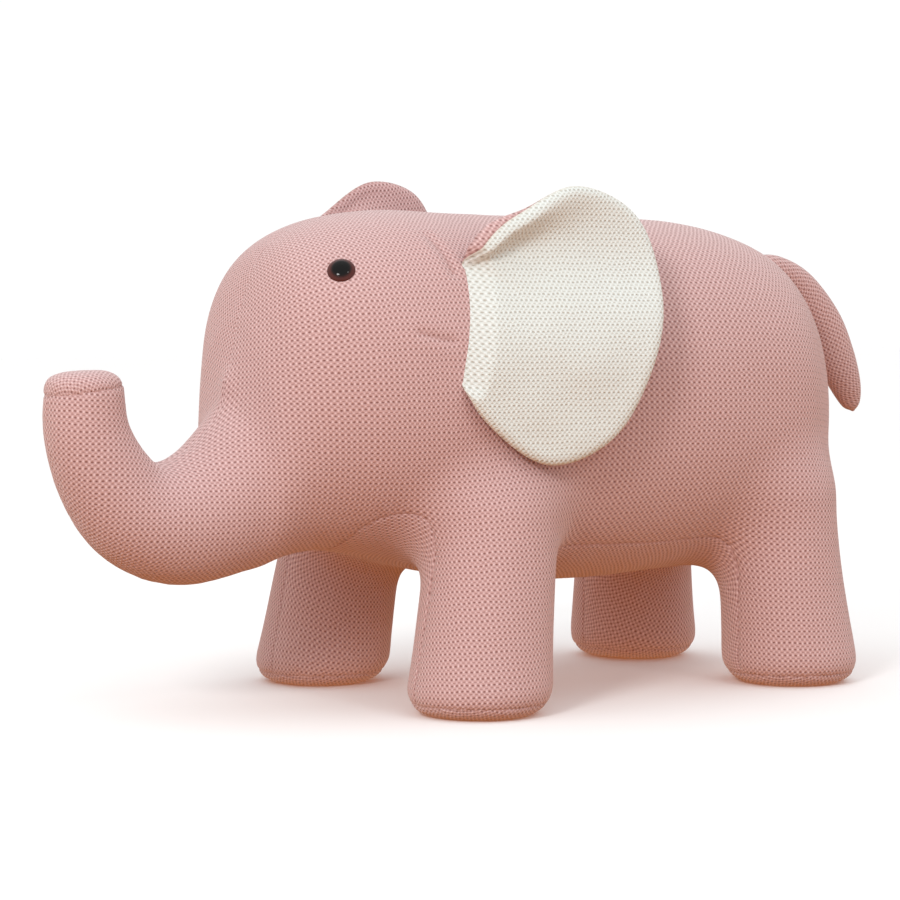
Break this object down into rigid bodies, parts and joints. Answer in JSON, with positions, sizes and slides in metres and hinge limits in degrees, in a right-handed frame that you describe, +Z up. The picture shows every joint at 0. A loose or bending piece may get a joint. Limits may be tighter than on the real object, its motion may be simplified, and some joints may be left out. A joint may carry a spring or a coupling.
{
  "type": "stuffed elephant",
  "caption": "Knitted stuffed elephant standing on round feet, trunk curled up, padded ears with pale lining, pointed tail, domed eyes.",
  "frame": {"origin": "on the floor, below the middle of the object's box", "axes": "+Z up, the head and trunk towards -X, the tail towards +X, the animal's left side towards -Y"},
  "size_m": [0.7848, 0.3592, 0.404],
  "materials": {
    "pink_knit": "matt cotton knit with a small grid of holes",
    "white_knit": "matt cotton knit with a small grid of holes",
    "filling": "loose white polyester fibre",
    "eye": "polished black",
    "washer": "moulded"
  },
  "bodies": {
    "torso": {"side_panel_left": "pink_knit", "side_panel_right": "pink_knit", "belly_panel": "pink_knit", "trunk_tip_panel": "pink_knit", "sole_front_left": "pink_knit", "sole_front_right": "pink_knit", "sole_rear_left": "pink_knit", "sole_rear_right": "pink_knit", "torso_filling": "filling", "head_filling": "filling", "trunk_filling": "filling", "leg_filling_front_left": "filling", "leg_filling_front_right": "filling", "leg_filling_rear_left": "filling", "leg_filling_rear_right": "filling", "eye_left": "eye", "eye_right": "eye", "eye_washer_left": "washer", "eye_washer_right": "washer"},
    "ear_left": {"ear_left_outer": "pink_knit", "ear_left_lining": "white_knit", "ear_left_wadding": "filling"},
    "ear_right": {"ear_right_outer": "pink_knit", "ear_right_lining": "white_knit", "ear_right_wadding": "filling"},
    "tail_root": {"tail_root": "pink_knit"},
    "tail": {"tail_cover": "pink_knit", "tail_filling": "filling"}
  },
  "joints": [
    {"name": "ear_left_flap", "type": "hinge", "parent": "torso", "child": "ear_left", "pos_m": [-0.112, -0.132, 0.294], "axis": [-0.227, -0.289, -0.93], "range_deg": [-4, 105], "stiffness_Nm_per_rad": 0.08},
    {"name": "ear_right_flap", "type": "hinge", "parent": "torso", "child": "ear_right", "pos_m": [-0.112, 0.132, 0.294], "axis": [0.227, -0.289, 0.93], "range_deg": [-4, 105], "stiffness_Nm_per_rad": 0.08},
    {"name": "tail_lift", "type": "hinge", "parent": "torso", "child": "tail_root", "pos_m": [0.2687, 0, 0.3407], "axis": [0, -1, 0], "range_deg": [-10, 60], "stiffness_Nm_per_rad": 0.06},
    {"name": "tail_swing", "type": "hinge", "parent": "tail_root", "child": "tail", "pos_m": [0.2687, 0, 0.3407], "axis": [0, 0, 1], "range_deg": [-45, 45], "stiffness_Nm_per_rad": 0.06}
  ]
}
